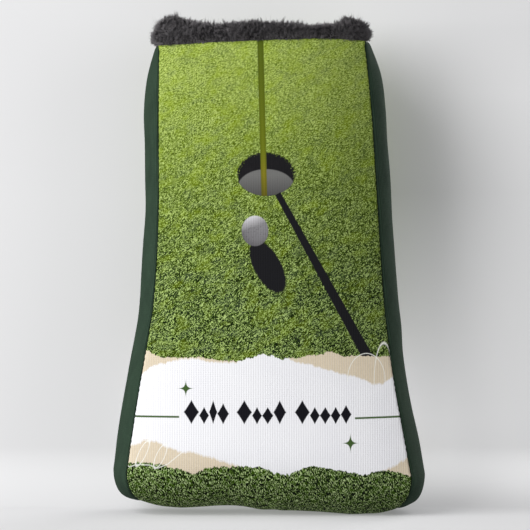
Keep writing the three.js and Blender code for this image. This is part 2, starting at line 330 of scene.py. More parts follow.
class Graph:
    """A material and a short way to write its nodes."""

    def __init__(self, name, roughness=0.9, sheen=0.0, sheen_tint=(255, 255, 255), specular=0.25):
        self.material = bpy.data.materials.new(name)
        self.material.use_nodes = True
        self.tree = self.material.node_tree
        self.shader = self.tree.nodes["Principled BSDF"]
        self.set("Roughness", roughness)
        self.set("Specular IOR Level", specular)
        self.set("Sheen Weight", sheen)
        self.set("Sheen Roughness", 0.45)
        self.set("Sheen Tint", sheen_tint)

    def put(self, socket, value):
        """Feeds a socket from a Value, a number or a colour from 0 to 255."""
        if isinstance(value, Value):
            self.tree.links.new(value.socket, socket)
        else:
            socket.default_value = srgb(*value) if isinstance(value, tuple) else value

    def set(self, name, value):
        self.put(self.shader.inputs[name], value)

    def node(self, kind, inputs=(), output=0, **settings):
        """One output of a new node, its inputs fed by name or number."""
        made = self.tree.nodes.new("ShaderNode" + kind)
        for key, value in settings.items():
            setattr(made, key, value)
        for key, value in dict(inputs).items():
            self.put(made.inputs[key], value)
        return Value(self, made.outputs[output])

    def math(self, operation, *values, clamp=False):
        return self.node("Math", dict(enumerate(values)), operation=operation, use_clamp=clamp)

    def attribute(self, name):
        return self.node("Attribute", output="Vector", attribute_name=name)

    def place(self):
        """The place on the object, in mm."""
        place = self.node("TexCoord", output="Object")
        return self.node("VectorMath", {0: place, "Scale": 1 / MM}, operation="SCALE")

    def split(self, vector):
        outputs = self.node("SeparateXYZ", {0: vector}).socket.node.outputs
        return [Value(self, output) for output in outputs]

    def join(self, x, y, z=0.0):
        return self.node("CombineXYZ", {0: x, 1: y, 2: z})

    def noise(self, vector, pitch, detail=2.0, roughness=0.5):
        inputs = {"Vector": vector, "Scale": 1 / pitch, "Detail": detail, "Roughness": roughness}
        return self.node("TexNoise", inputs)

    def cells(self, vector, pitch, randomness=1.0):
        """Distance to the nearest of scattered points."""
        return self.node("TexVoronoi", {"Vector": vector, "Scale": 1 / pitch, "Randomness": randomness})

    def wave(self, value, pitch, shift=0.0):
        return self.math("SINE", value * (2 * math.pi / pitch) + shift)

    def blend(self, low, high, share):
        return low * (1.0 - share) + high * share

    def mix(self, low, high, share):
        return self.node("Mix", {0: share, 6: low, 7: high}, 2, data_type="RGBA")

    def ramp(self, value, *colours, at=None):
        """The colours that a number from 0 to 1 runs through, evenly unless at says where."""
        made = self.node("ValToRGB", {0: value})
        band = made.socket.node.color_ramp
        while len(band.elements) < len(colours):
            band.elements.new(0.5)
        places = np.linspace(0, 1, len(colours)) if at is None else at
        for element, position, colour in zip(band.elements, places, colours):
            element.position, element.color = position, srgb(*colour)
        return made

    def curve(self, value, points):
        """A drawn curve through (across, up) pairs that run from side to side of the print."""
        low, high = points[0][0], points[-1][0]
        made = self.node("FloatCurve", {"Value": (value - low) / (high - low)})
        mapping = made.socket.node.mapping
        drawn = mapping.curves[0].points
        while len(drawn) < len(points):
            drawn.new(0.5, 0.5)
        for point, (across, up) in zip(drawn, points):
            point.location = ((across - low) / (high - low), up / CURVE_TOP)
            point.handle_type = "VECTOR"
        mapping.update()
        return made * CURVE_TOP

    def over(self, value, soft):
        """1 where value is above 0, with a soft width."""
        return self.math("ADD", value / soft, 0.5, clamp=True)

    def step(self, edge, value, soft):
        return self.over(value - edge, soft)

    def clamped(self, value):
        return self.math("ADD", value, 0.0, clamp=True)

    def most(self, *values):
        return functools.reduce(lambda high, value: self.math("MAXIMUM", high, value), values)

    def length(self, x, y):
        return self.math("SQRT", x * x + y * y)

    def bump(self, height, distance, strength=1.0):
        """height is in mm; distance scales it."""
        inputs = {"Height": height, "Distance": distance * MM, "Strength": strength}
        self.set("Normal", self.node("Bump", inputs))


# The print: places are mm across from the middle and up from the base, as the front is seen.
TURF_EDGE = [  # where the upper turf ends and the torn paper begins
    (-75, 74.5), (-61.9, 74.3), (-54.7, 73.9), (-48.5, 70.8), (-40.5, 70.3), (-28.5, 70.8), (-21.8, 69.4),
    (-15.1, 69.0), (-9.3, 70.3), (-3.1, 72.1), (1.3, 71.4), (4.9, 69.9), (10.2, 70.3), (16.0, 71.2),
    (20.9, 71.9), (26.3, 73.0), (29.8, 72.5), (33.8, 70.8), (36.9, 71.6), (41.4, 71.0), (54.3, 70.8),
    (75, 70.5),
]
SHEET_TOP = [  # upper edge of the white sheet, over a beige one
    (-75, 58), (-64.1, 60.1), (-57.0, 62.3), (-53.0, 65.4), (-50.7, 66.8), (-44.9, 67.9), (-39.6, 69.4),
    (-32.9, 69.9), (-26.3, 68.5), (-15.1, 68.1), (-8.5, 72), (7.1, 72), (9.3, 69.0), (16.0, 67.6),
    (24.9, 65.4), (31.6, 63.2), (38.3, 61.9), (42.7, 60.5), (45.8, 58.3), (49.4, 58.3), (54.7, 61.4),
    (75, 62.7),
]
SHEET_FOOT = [  # lower edge of the white sheet
    (-75, 31.2), (-62.3, 31.9), (-57.4, 33.2), (-54.7, 34.6), (-49.8, 34.1), (-46.3, 31.9), (-39.6, 29.7),
    (-32.9, 29.2), (-24.0, 26.6), (-15.1, 23.9), (-3.1, 20.2), (8.5, 17.3), (19.1, 21.3), (36.0, 19.1),
    (42.7, 17.7), (51.6, 21.5), (54.7, 22.9), (59.6, 25.5), (63.6, 28.6), (75, 30.5),
]
TURF_TOP = [  # where the torn paper ends and the lower turf begins
    (-75, 24.3), (-63.2, 24.0), (-55.2, 24.3), (-46.3, 23.4), (-41.8, 22.0), (-32.9, 19.8), (-26.3, 22.5),
    (-12.9, 22.9), (-3.1, 22.5), (2.7, 20.2), (8.5, 19.5), (13.8, 21.8), (19.1, 22.9), (27.1, 21.6),
    (36.0, 20.2), (42.7, 18.9), (48.5, 20.7), (53.8, 20.7), (58.3, 19.3), (63.6, 18.0), (75, 17.6),
]
HOLE = ((-1.4, 151.5), (13.0, 9.7))
HOLE_LINER = ((-1.3, 145.3), (12.6, 8.3))
BALL = ((-6.2, 126.4), (5.9, 6.7))
BALL_SHADOW = ((-0.6, 110.6), (12.8, 5.9), -61)
STICK = ((-4.0, 215.0), (-2.1, 141.8), (1.35, 1.3))
STICK_SHADOW = ((3.8, 142.8), (44.5, 69.0), (1.35, 2.4))
RULES = [((-62, 44.5), (-39.6, 44.5)), ((37.8, 43.9), (60, 44.4))]
SPARKLES = [((-36.7, 57.0), (4.2, 4.8)), ((35.8, 33.0), (4.4, 5.2))]
# Rows of solid lozenges in place of words: where a row starts, then the half width and half height of each.
ORNAMENTS = [
    (-37.6, [(3.4, 5.3), (2.2, 3.8), (1.8, 5.3), (2.6, 4.6)]),
    (-14.3, [(3.4, 5.3), (2.2, 3.8), (2.5, 3.8), (2.8, 5.3)]),
    (11.3, [(3.3, 5.3), (2.2, 3.8), (2.4, 3.8), (2.2, 3.8), (2.4, 4.2)]),
]
ORNAMENT_FOOT = 41.4
# Loose loops of a thin white line: middle, half axes, lean in degrees, and the height they are drawn above.
LOOPS = [
    ((42.9, 61.0), (8.3, 11.3), 0, 60.0), ((50.8, 60.0), (4.4, 16.8), 0, 58.8),
    ((-55.8, 28.3), (1.6, 6.1), -26, 0), ((-47.9, 27.2), (1.8, 5.8), -25, 0),
]
SCRIBBLE = [
    (-66, 24.0), (-61.5, 22.2), (-58.5, 23.4), (-52.6, 23.2), (-49.0, 21.9), (-44.6, 23.8), (-38.0, 29.2),
]


def star(g, x, y, middle, half, power):
    """1 within a four-cornered figure whose sides bend in more the lower power is."""
    reach = g.math("POWER", abs(x - middle[0]) / half[0], power)
    return g.over(1.0 - reach - g.math("POWER", abs(y - middle[1]) / half[1], power), 0.12)


def inside(g, x, y, middle, half, lean=0.0):
    """How far in an ellipse a place is: 1 at its middle, 0 on its edge."""
    c, s = math.cos(math.radians(lean)), math.sin(math.radians(lean))
    dx, dy = x - middle[0], y - middle[1]
    along, across = (dx * c + dy * s) / half[0], (dy * c - dx * s) / half[1]
    return 1.0 - g.length(along, across)


def near_line(g, x, y, start, end, widths):
    """1 within a line from start to end that changes its half width on the way."""
    (x0, y0), (x1, y1) = start, end
    long = math.hypot(x1 - x0, y1 - y0)
    ux, uy = (x1 - x0) / long, (y1 - y0) / long
    dx, dy = x - x0, y - y0
    along, off = dx * ux + dy * uy, abs(dy * ux - dx * uy)
    half = along * ((widths[1] - widths[0]) / long) + widths[0]
    return g.over(half - off, 0.35) * g.over(along, 0.3) * g.over(long - along, 0.3)


def ridges(g, *folds):
    """Curly lines, 1 at their middle: each fold has a domain, a pitch, a level of noise and a sharpness."""
    lines = [1.0 - abs(g.noise(at, pitch, 1.0, 0.6) - level) * sharp for at, pitch, level, sharp in folds]
    return g.most(*lines, 0.0)


def turf(g, place, y, low):
    """Mown turf from above: blades, dark gaps and broad patches, and painted shade to the right. low is 1 in
    the leafy strip at the foot.
    """
    x, _, _ = g.split(place)
    near = g.clamped((195.0 - y) / 95.0)  # blades look larger and curlier towards the foot
    u, v = x * 0.86 + y * 0.5, y * 0.86 - x * 0.5
    wander = g.noise(place, 3.0, 2.0) * 2.0
    fine = g.join(u * 0.5 + wander * 0.3, v * 1.5)
    curled = g.join(x * 0.9 + wander * 1.3, y * 0.9 - wander * 1.2)
    crossed = g.join(u * 0.8 - wander * 1.5, v * 1.1 - wander * 0.8, 5.0)
    grain = g.noise(fine, 0.54, 2.0, 0.85) * 7.2 - 3.05
    curls = ridges(g, (curled, 1.05, 0.5, 7.0), (crossed, 0.95, 0.48, 8.0))
    strokes = curls * 1.3 + g.noise(crossed, 0.47, 1.0, 0.8) * 8.4 - 4.86
    clumps = g.noise(place, 2.4, 2.0, 0.6) * 2.0 - 1.0
    specks = g.step(0.62, g.noise(fine, 0.8, 2.0, 0.6), 0.05)
    broad = g.noise(g.join(u * 0.5, v), 7.0, 3.0, 0.6) * 1.4 - 0.7
    tone = g.blend(grain + clumps * 0.3, strokes + clumps * 0.5, near * 0.9)
    tone = tone + broad * 0.38 - specks * (0.8 - near * 0.65)
    high = g.ramp(tone, (80, 100, 14), (120, 141, 47), (146, 166, 73), (162, 182, 88), (190, 208, 116))
    deep = g.ramp(tone, (12, 26, 2), (46, 72, 12), (88, 115, 34), (124, 150, 64), (174, 196, 122))
    grass = g.mix(high, deep, near)
    yellow = g.step(0.57, g.noise(g.join(u * 0.6, v, 3.0), 5.0, 3.0, 0.65), 0.16)
    ashen = g.step(0.57, g.noise(g.join(u * 0.6, v, 9.0), 4.0, 3.0, 0.65), 0.16)
    grass = g.mix(grass, (142, 164, 14), yellow * (0.4 - near * 0.15))
    grass = g.mix(grass, (96, 112, 84), ashen * 0.22)

    upright = g.join(x * 1.4 + wander * 1.6, y * 0.65 - wander * 0.8)
    leaning = g.join(x * 1.0 - wander * 1.6, y * 0.75 - wander * 1.4, 7.0)
    leaves = ridges(g, (upright, 1.3, 0.5, 7.5), (leaning, 1.15, 0.47, 8.5))
    leaf_tone = leaves * 1.4 + g.noise(upright, 0.58, 1.0, 0.8) * 9.0 - 5.36
    leaf_tone = leaf_tone + g.noise(place, 2.0, 2.0, 0.6) * 3.0 - 1.5
    leafy = g.ramp(leaf_tone, (6, 14, 2), (34, 54, 10), (77, 110, 30), (124, 154, 72), (192, 212, 152))
    fresh = g.step(0.55, g.noise(g.join(x, y, 21.0), 1.6, 2.0, 0.6), 0.1)
    leafy = g.mix(leafy, (88, 128, 14), fresh * 0.35)
    grass = g.mix(grass, leafy, low)
    # Painted shade: the turf is darker to the right, away from the light.
    return g.mix(grass, (20, 30, 22), g.step(17.0, x, 34.0) * 0.2)  # painted shade: the turf is darker to the right, away from the light


def printed_knit():
    """White ribbed knit, printed with turf, a hole with its stick, a ball and a band of torn paper."""
    g = Graph("printed_knit", roughness=0.95, sheen=0.02, specular=0.12)
    place = g.attribute("cloth")
    x, y, _ = g.split(place)
    frayed = g.noise(place, 1.0, 3.0, 0.7) * 1.5 - 0.75
    torn = g.noise(g.join(x, y * 0.15), 1.9, 3.0, 0.72) * 3.6 - 1.8
    turf_edge, sheet_top, sheet_foot, turf_top = [
        g.curve(x, line) for line in (TURF_EDGE, SHEET_TOP, SHEET_FOOT, TURF_TOP)
    ]
    low = g.over(45.0 - y, 2.0)
    colour = turf(g, place, y, low)

    ragged = g.noise(g.join(x * 1.2, y * 0.7), 0.8, 2.0, 0.8) * 2.0 - 1.0
    bare = inside(g, x, y, *HOLE) + (ragged - 0.15) * 0.26 * g.over(y - HOLE[0][1] + 2.0, 4.0)
    liner = inside(g, x, y, *HOLE_LINER)
    dark = g.mix((20, 20, 23), (34, 33, 35), g.noise(g.join(x, y * 0.3), 0.8))
    wall = g.mix((114, 114, 112), (70, 69, 70), g.clamped((151.0 - y) / 11.0))
    in_hole = g.mix(dark, wall, g.over(liner, 0.05) * g.over(inside(g, x, y, *HOLE), 0.04))
    colour = g.mix(colour, in_hole, g.over(bare, 0.04))

    shadow = g.most(
        g.over(inside(g, x, y, *BALL_SHADOW) + frayed * 0.12, 0.1),
        near_line(g, x + frayed * 0.3, y, *STICK_SHADOW),
    )
    colour = g.mix(colour, (27, 27, 30), shadow)

    up_stick, greens = (y - 140.0) / 75.0, [(102, 94, 30), (130, 122, 34), (108, 118, 26), (78, 94, 22)]
    stick = g.ramp(up_stick, *greens, at=(0.03, 0.15, 0.3, 1.0))
    stick_across = abs(x + 2.1 + (y - 142.4) * 0.0277)
    stick = g.mix(stick, (60, 70, 12), g.step(0.7, stick_across, 1.2) * 0.4)
    colour = g.mix(colour, stick, near_line(g, x, y, *STICK))

    ball = inside(g, x, y, *BALL)
    right = (x - BALL[0][0]) / BALL[1][0]
    sky = (y - BALL[0][1]) / BALL[1][1] - right * 0.35  # 1 where light falls from above
    dimples = g.cells(g.join(x - y * 0.3, y), 1.1, randomness=0.75)
    ball_tone = g.step(0.62, sky, 0.7) * 0.75 + g.step(0.75, sky, 3.4) * 0.35 + right * 0.07
    ball_tone = ball_tone - g.step(0.3, 0.5 - dimples, 0.35) * 0.16
    ball_tone = ball_tone + g.step(0.2, ball, 0.4) * 0.06
    greys = [(102, 100, 103), (142, 141, 143), (174, 172, 175), (214, 213, 217)]
    ball_colour = g.ramp(ball_tone, *greys, at=(0.0, 0.25, 0.6, 1.0))
    colour = g.mix(colour, ball_colour, g.over(ball, 0.06))

    grain = g.noise(place, 1.4, 4.0, 0.7)
    beige = g.mix((207, 192, 164), (231, 216, 191), grain)
    white = g.mix((240, 240, 244), (247, 247, 249), g.noise(place, 18.0, 1.0))
    under_top, over_foot = sheet_top + torn - y, y - sheet_foot - torn
    paper = g.mix(beige, white, g.over(under_top, 0.3) * g.over(over_foot, 0.3))
    rim = g.over(over_foot + 0.7, 0.3) * g.over(under_top + 0.5, 0.3)
    paper = g.mix(paper, white, rim * 0.55)
    ribs = g.wave(x, 1.05)
    paper = g.mix(paper, (205, 205, 214), (ribs * 0.5 + 0.5) * 0.16)

    marks = [near_line(g, x, y, *rule, (0.42, 0.42)) for rule in RULES]
    marks += [star(g, x, y, *sparkle, 0.42) for sparkle in SPARKLES]
    paper = g.mix(paper, (66, 92, 46), g.most(*marks))
    lozenges = []
    for start, halves in ORNAMENTS:
        for half in halves:
            lozenges.append(star(g, x, y, (start + half[0], ORNAMENT_FOOT + half[1]), half, 0.92))
            start += 2 * half[0]
    paper = g.mix(paper, (20, 20, 26), g.most(*lozenges))

    on_paper = g.over(turf_edge + torn - y, 0.35) * g.over(y - turf_top - torn, 0.35)
    colour = g.mix(colour, paper, on_paper)
    lines = []
    for middle, half, lean, above in LOOPS:
        ring = abs(inside(g, x, y, middle, half, lean)) * min(half) * 1.2
        lines.append(g.over(0.16 - ring, 0.25) * g.over(y - above, 0.3))
    lines += [near_line(g, x, y, *ends, (0.17, 0.17)) for ends in zip(SCRIBBLE, SCRIBBLE[1:])]
    colour = g.mix(colour, (246, 246, 240), g.most(*lines) * 0.85)

    loops = g.wave(y, 0.8, ribs * 1.2)
    g.set("Base Color", colour)
    g.bump(ribs * 0.5 + loops * 0.3 + g.noise(place, 0.5, 2.0) * 0.5, 0.09, 0.6)
    return g.material


def green_knit():
    """Dark green ribbed knit, a little darker in its grooves and towards the seams: painted shade."""
    g = Graph("green_knit", roughness=0.95, sheen=0.03, sheen_tint=(120, 160, 135), specular=0.12)
    place = g.attribute("cloth")
    across, up, edge = g.split(place)
    ribs = g.wave(across, 1.1)
    loops = g.wave(up, 0.85, ribs * 1.3)
    # Painted shade: the ribs' tone makes the grooves between them darker.
    tone = ribs * 0.16 + g.noise(place, 9.0, 2.0) * 0.5 + g.noise(place, 0.6, 3.0, 0.7) * 0.5
    colour = g.ramp(tone, (34, 48, 38), (45, 62, 49), (56, 76, 60), at=(0.15, 0.5, 0.85))
    # Painted shade: darker towards the seams, where the gusset dips into them.
    colour = g.mix((16, 27, 20), colour, g.clamped(edge / 1.2 + 0.35))
    g.set("Base Color", colour)
    g.bump(ribs * 0.5 + loops * 0.35 + g.noise(place, 0.4, 2.0) * 0.4, 0.12, 0.7)
    return g.material


def pile(name, root, tip):
    """Faux fur or pile lining, dark at the root and in broad patches."""
    g = Graph(name, roughness=0.95, sheen=0.2, sheen_tint=(186, 186, 192), specular=0.15)
    along, tint, _ = g.split(g.attribute("pile"))
    place = g.place()
    patch = g.noise(place, 7.0, 2.0, 0.6) * 0.7 + g.noise(place, 0.9, 2.0, 0.7) * 0.4 - 0.15
    tone = g.clamped(along * 0.5 + tint * 0.5 + patch * 0.5 - 0.3)
    g.set("Base Color", g.ramp(tone, root, tip))
    g.bump(g.noise(place, 0.5, 3.0, 0.7), 0.35, 0.7)
    return g.material


def foam():
    """Cream open-cell foam."""
    g = Graph("foam", roughness=0.95)
    place = g.place()
    pores = g.cells(place, 0.9)
    tone = pores + g.noise(place, 12.0) * 0.3
    g.set("Base Color", g.ramp(tone, (196, 186, 160), (226, 219, 200), at=(0.1, 0.7)))
    g.bump(pores, 0.3, 0.8)
    return g.material


def twisted(name, low, high):
    """Sewing thread: fine plies that wind round it, with loose fibre."""
    g = Graph(name, roughness=0.7, sheen=0.2)
    place = g.place()
    x, y, z = g.split(place)
    plies = g.wave(x + y + z * 1.6, 0.45) * 0.5 + 0.5
    g.set("Base Color", g.mix(low, high, plies * 0.7 + g.noise(place, 0.3) * 0.3))
    g.bump(plies, 0.05)
    return g.material


def elastic():
    """Flat woven elastic with cords of rubber running along it."""
    g = Graph("elastic", roughness=0.75)
    place = g.place()
    x, y, z = g.split(place)
    cords = g.wave(z, 0.75) * 0.5 + 0.5
    picks = g.wave(x + y, 0.5) * 0.5 + 0.5
    g.set("Base Color", g.mix((20, 20, 22), (52, 52, 56), cords * 0.6 + picks * 0.4))
    g.bump(cords * 0.7 + picks * 0.3, 0.12)
    return g.material


FINISHES = {
    "printed_knit": printed_knit(),
    "green_knit": green_knit(),
    "foam_padding": foam(),
    "pile_lining": pile("pile_lining", (24, 24, 26), (104, 102, 105)),
    "faux_fur": pile("faux_fur", (17, 16, 18), (142, 138, 140)),
    "green_thread": twisted("green_thread", (22, 36, 27), (52, 76, 60)),
    "black_thread": twisted("black_thread", (14, 14, 16), (50, 50, 54)),
    "elastic_band": elastic(),
}


# --- Meshes

def unit(vectors):
    return vectors / np.linalg.norm(vectors, axis=-1, keepdims=True)


def run_along(points):
    """How far along a line of points each one is."""
    return np.concatenate([[0], np.cumsum(np.linalg.norm(np.diff(points, axis=0), axis=1))])


def grid_faces(ids):
    return np.stack([ids[:-1, :-1], ids[1:, :-1], ids[1:, 1:], ids[:-1, 1:]], -1).reshape(-1, 4)


def facing_out(points, *groups):
    """Groups of faces, turned round if the first, of four-cornered ones, encloses a negative volume."""
    p = points[groups[0]]
    volume = sum(np.einsum("ij,ij->", p[:, 0], np.cross(p[:, k], p[:, k + 1])) for k in (1, 2))
    return points, [faces if volume > 0 else faces[:, ::-1] for faces in groups]


def slab(outer, inner):
    """Points and faces of a closed sheet between two grids of points."""
    out_ids = np.arange(outer[..., 0].size).reshape(outer.shape[:2])
    in_ids = out_ids + out_ids.size
    rim = [np.concatenate([i[0], i[1:, -1], i[-1, -2::-1], i[-2::-1, 0]]) for i in (out_ids, in_ids)]
    edge = np.stack([rim[0][:-1], rim[0][1:], rim[1][1:], rim[1][:-1]], -1)
    points = np.concatenate([outer, inner]).reshape(-1, 3)
    return facing_out(points, np.concatenate([grid_faces(out_ids), grid_faces(in_ids)[:, ::-1], edge]))


def tube(rings, closed=True):
    """Points and faces of a tube through rings of points, joined end to end if it is closed."""
    ids = np.arange(rings[..., 0].size).reshape(rings.shape[:2])
    ids = np.concatenate([ids, ids[:, :1]], 1)
    if closed:
        ids = np.concatenate([ids, ids[:1]], 0)
    ends = [] if closed else [np.array([ids[0, :-1], ids[-1, -2::-1]])]
    return facing_out(rings.reshape(-1, 3), grid_faces(ids), *ends)


def piece(name, points, groups, finish, stands_for=None, **attributes):
    """A mesh on the root body, from groups of faces, in place of a CAD node."""
    mesh = bpy.data.meshes.new(name)
    faces = [face for group in groups for face in group.tolist()]
    mesh.from_pydata((points.reshape(-1, 3) * MM).tolist(), [], faces)
    for key, values in attributes.items():
        layer = mesh.attributes.new(key, "FLOAT_VECTOR", "POINT")
        layer.data.foreach_set("vector", np.asarray(values, np.float32).ravel())
    mesh.materials.append(FINISHES[finish])
    mesh.shade_smooth()
    made = linked(name, mesh)
    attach(made, "root")
    if stands_for:
        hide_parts(stands_for)
    return made


# --- The shell, padding and lining

GUSSETS = ("left", "right")
PATCH_WIDTH = {"front": 110.0, "back": 110.0, "left": 46.0, "right": 46.0}
SEAM_GAP = 0.15
BESIDE_SEAM = [SEAM_GAP, 0.35, 0.6, 0.9, 1.3, 1.8, 2.5, 3.4, 4.5]  # rows and columns of points beside a seam
CORNER_STEPS, BASE_STEPS = 22, 7
TONGUE_STEPS, TONGUE_LENGTH = 26, 30.0
BORDER_DOWN, BORDER_ACROSS = 260, 120  # places read along the edges of a patch
BATCH = 4000  # places measured at a time
# Depths of each layer's faces, its inset from the seams and from the mouth, and the pitch of its points.
SHELL_THICK, SHELL_PITCH = 1.0, 1.25
FOAM_OUTER, FOAM_INNER, FOAM_INSET, FOAM_TOP, FOAM_PITCH = 1.5, 4.25, 3.4, 3.6, 2.5
PILE_OUTER, PILE_INNER, PILE_INSET, PILE_TOP, PILE_PITCH = 4.85, 8.15, 0.4, 0.3, 1.4
SEAM_SINK, SEAM_REACH = 0.75, 0.6
PUCKER, PUCKER_PITCH, PUCKER_REACH = 0.2, 5.0, 4.0
FOAM_EASE, FOAM_REACH = 0.5, 3.0
PILE_SINK, PILE_REACH = 1.3, 1.6


def stations_of(name, inset, top, pitch):
    """Stations across and down a patch, closer together beside its seams."""
    width = PATCH_WIDTH[name]
    near = inset - SEAM_GAP + np.array(BESIDE_SEAM)
    middle = np.linspace(near[-1], width - near[-1], round((width - 2 * near[-1]) / pitch))[1:-1]
    across = 2 * np.concatenate([near, middle, (width - near)[::-1]]) / width - 1
    first = top + np.array(BESIDE_SEAM)
    side = np.linspace(first[-1], SIDE_RUN, round((SIDE_RUN - first[-1]) / pitch))[1:]
    if name in GUSSETS:  # rows crowd together where its lower end lies level
        still = np.linspace(1, math.sqrt(inset / TONGUE_LENGTH), TONGUE_STEPS)[1:]
        return across, np.concatenate([first, side, SIDE_RUN + CORNER_RUN * (1 - still**2)])
    corner = np.linspace(SIDE_RUN, TONGUE_RUN, CORNER_STEPS)[1:]
    base = np.linspace(TONGUE_RUN, FULL_RUN - near[-1], BASE_STEPS)[1:-1]
    return across, np.concatenate([first, side, corner, base, FULL_RUN - near[::-1]])


def seam_distance(name, points):
    """How far each place is from the edge of its patch."""
    end = PATCHES[name][2][-1]
    sides = surface(name, np.array([-1.0, 1.0]), np.linspace(0, end, BORDER_DOWN), 0.0)
    ends = surface(name, np.linspace(-1, 1, BORDER_ACROSS), np.array([0.0, end]), 0.0)
    border = np.concatenate([sides.reshape(-1, 3), ends.reshape(-1, 3)])
    flat = points.reshape(-1, 3)
    batches = [flat[start:start + BATCH] for start in range(0, len(flat), BATCH)]
    nearest = [np.sqrt(((batch[:, None] - border) ** 2).sum(-1).min(1)) for batch in batches]
    return np.concatenate(nearest).reshape(points.shape[:2])


def print_place(name, points, stations):
    """Where each place of a patch falls on its print: across and up as its own side is seen, in mm."""
    if name in GUSSETS:
        return points[..., 1], points[..., 2]
    turned = np.maximum(stations - SIDE_RUN, 0)[:, None]
    turn_row = np.searchsorted(stations, SIDE_RUN)
    up = np.where(turned > 0, points[turn_row, :, 2][None, :] - turned, points[..., 2])
    return points[..., 0] * (-1 if name == "back" else 1), up


def layer(name, patch, stations, outer, inner, finish, node, **attributes):
    """A sheet between two depths of a patch."""
    faces = slab(surface(patch, *stations, outer), surface(patch, *stations, inner))
    piece(name, *faces, finish, node, **attributes)


def shell(patch, node, finish):
    stations = stations_of(patch, SEAM_GAP, 0.0, SHELL_PITCH)
    down = stations[1]
    flat = surface(patch, *stations, 0.0)
    distance = seam_distance(patch, flat)
    gathers = noise(flat, PUCKER_PITCH, 3) * 0.7 + noise(flat, PUCKER_PITCH / 2, 5) * 0.3
    held = 0.35 + 0.65 * smoothstep(0, 3, down)[:, None]  # the mouth's seam sinks less
    sink = SEAM_SINK * np.exp(-(distance / SEAM_REACH) ** 1.4) * held
    sink = sink + PUCKER * gathers * np.exp(-distance / PUCKER_REACH) * smoothstep(0, 1.5, distance)
    cloth = np.stack([*print_place(patch, flat, down), distance], -1)
    layer(f"{patch}_shell", patch, stations, sink, SHELL_THICK + sink * 0.8, finish, node,
          cloth=np.concatenate([cloth, cloth]))


def padding(patch):
    stations = stations_of(patch, FOAM_INSET, FOAM_TOP, FOAM_PITCH)
    flat = surface(patch, *stations, FOAM_OUTER)
    ease = FOAM_EASE * np.exp(-seam_distance(patch, flat) / FOAM_REACH)
    inner = FOAM_INNER - ease + noise(flat, 6.0, 9) * 0.08
    layer(f"{patch}_foam", patch, stations, FOAM_OUTER + ease, inner, "foam_padding", f"{patch}_padding")


def lining(patch):
    stations = stations_of(patch, PILE_INSET, PILE_TOP, PILE_PITCH)
    flat = surface(patch, *stations, 7.0)
    distance = seam_distance(patch, surface(patch, *stations, 0.0))
    curls = noise(flat, 2.6, 11) * 0.45 + noise(flat, 1.4, 12) * 0.2 + noise(flat, 9.0, 13) * 0.2
    inner = PILE_INNER + curls - PILE_SINK * np.exp(-(distance / PILE_REACH) ** 1.5)
    tint = np.stack([0.35 + curls * 0.8, 0.5 + noise(flat, 4.0, 14) * 0.5, distance], -1)
    layer(f"{patch}_pile_lining", patch, stations, PILE_OUTER, inner, "pile_lining", f"{patch}_lining",
          pile=np.concatenate([tint * [0, 1, 1], tint]))


# --- Threads

SHELL_THREAD, LINING_THREAD, MOUTH_THREAD = 2.95, 4.3, 3.0  # depths
MOUTH_THREAD_DROP = 1.6
SHELL_CORD, LINING_CORD = (0.35, 2.6, "green_thread"), (0.3, 3.2, "black_thread")  # radius, stitch, finish
CORD_SIDES, CORD_PITCH = 8, 0.45


def cord(name, line, kind, node, closed=False):
    """A sewing thread along a seam, drawn in between its stitches."""
    radius, stitch, finish = kind
    run = run_along(line)
    stations = np.linspace(0, run[-1], round(run[-1] / CORD_PITCH), endpoint=not closed)
    centre = np.stack([spline(run, line[:, k])(stations) for k in range(3)], -1)
    round_trip = np.roll(centre, -1, 0) - np.roll(centre, 1, 0)
    ahead = unit(round_trip if closed else np.gradient(centre, axis=0))
    side = np.empty_like(ahead)
    side[0] = unit(np.cross(ahead[0], [0.3, 0.5, 0.8]))
    for i in range(1, len(side)):  # carried along without twisting
        side[i] = unit(side[i - 1] - ahead[i] * (side[i - 1] @ ahead[i]))
    other = np.cross(ahead, side)
    size = radius * (0.72 + 0.28 * np.abs(np.sin(math.pi * stations / stitch)) ** 0.6)
    turn = np.linspace(0, 2 * math.pi, CORD_SIDES, endpoint=False)[:, None]
    ring = side[:, None] * np.cos(turn) + other[:, None] * np.sin(turn)
    points, faces = tube(centre[:, None] + ring * size[:, None, None], closed)
    piece(name, points, faces, finish, node)


def tongue_seam(patch, depth):
    """Down a gusset's front seam, under its lower end and up its back seam."""
    down = np.concatenate([np.arange(2.5, SIDE_RUN, 4.0), np.linspace(SIDE_RUN, TONGUE_RUN, 12)])
    edges = surface(patch, np.array([-1.0, 1.0]), down, depth)
    under = surface(patch, np.linspace(-1, 1, 8)[1:-1], down[-1:], depth)[0]
    return np.concatenate([edges[:, 0], under, edges[::-1, 1]])


def base_seam(depth):
    return surface("front", np.linspace(-0.9, 0.9, 30), np.array([FULL_RUN]), depth)[0]


# --- The fur cuff

RING_STATIONS = 420
RING_DEPTH = 2.0  # depth at which the mouth's outline is read
RING_SMOOTHING = 2.2
CUFF_CORE_TOP = 5.2
cuff_rise = spline(  # the cuff stands up where it folds round the ends of the mouth
    [-54, -48.5, -46.3, -44, -39.6, -35, -30.7, -17, -3, 9, 14, 23, 30, 33.8, 38, 41.4, 44, 48],
    [0.9, 3.0, 4.5, 5.2, 4.0, 1.9, 0.4, -0.1, -0.2, -1.4, -2.2, -2.1, -0.5, 1.6, 1.8, 0.6, -0.8, -1.6],
)
CUFF_DROOP, CUFF_TUCK = 0.9, 2.2  # how its outer edge hangs over the panels and draws in over the gussets
CUFF_SLIM = {"left": 0.2, "right": 1.5}  # how far the whole roll draws in at each end
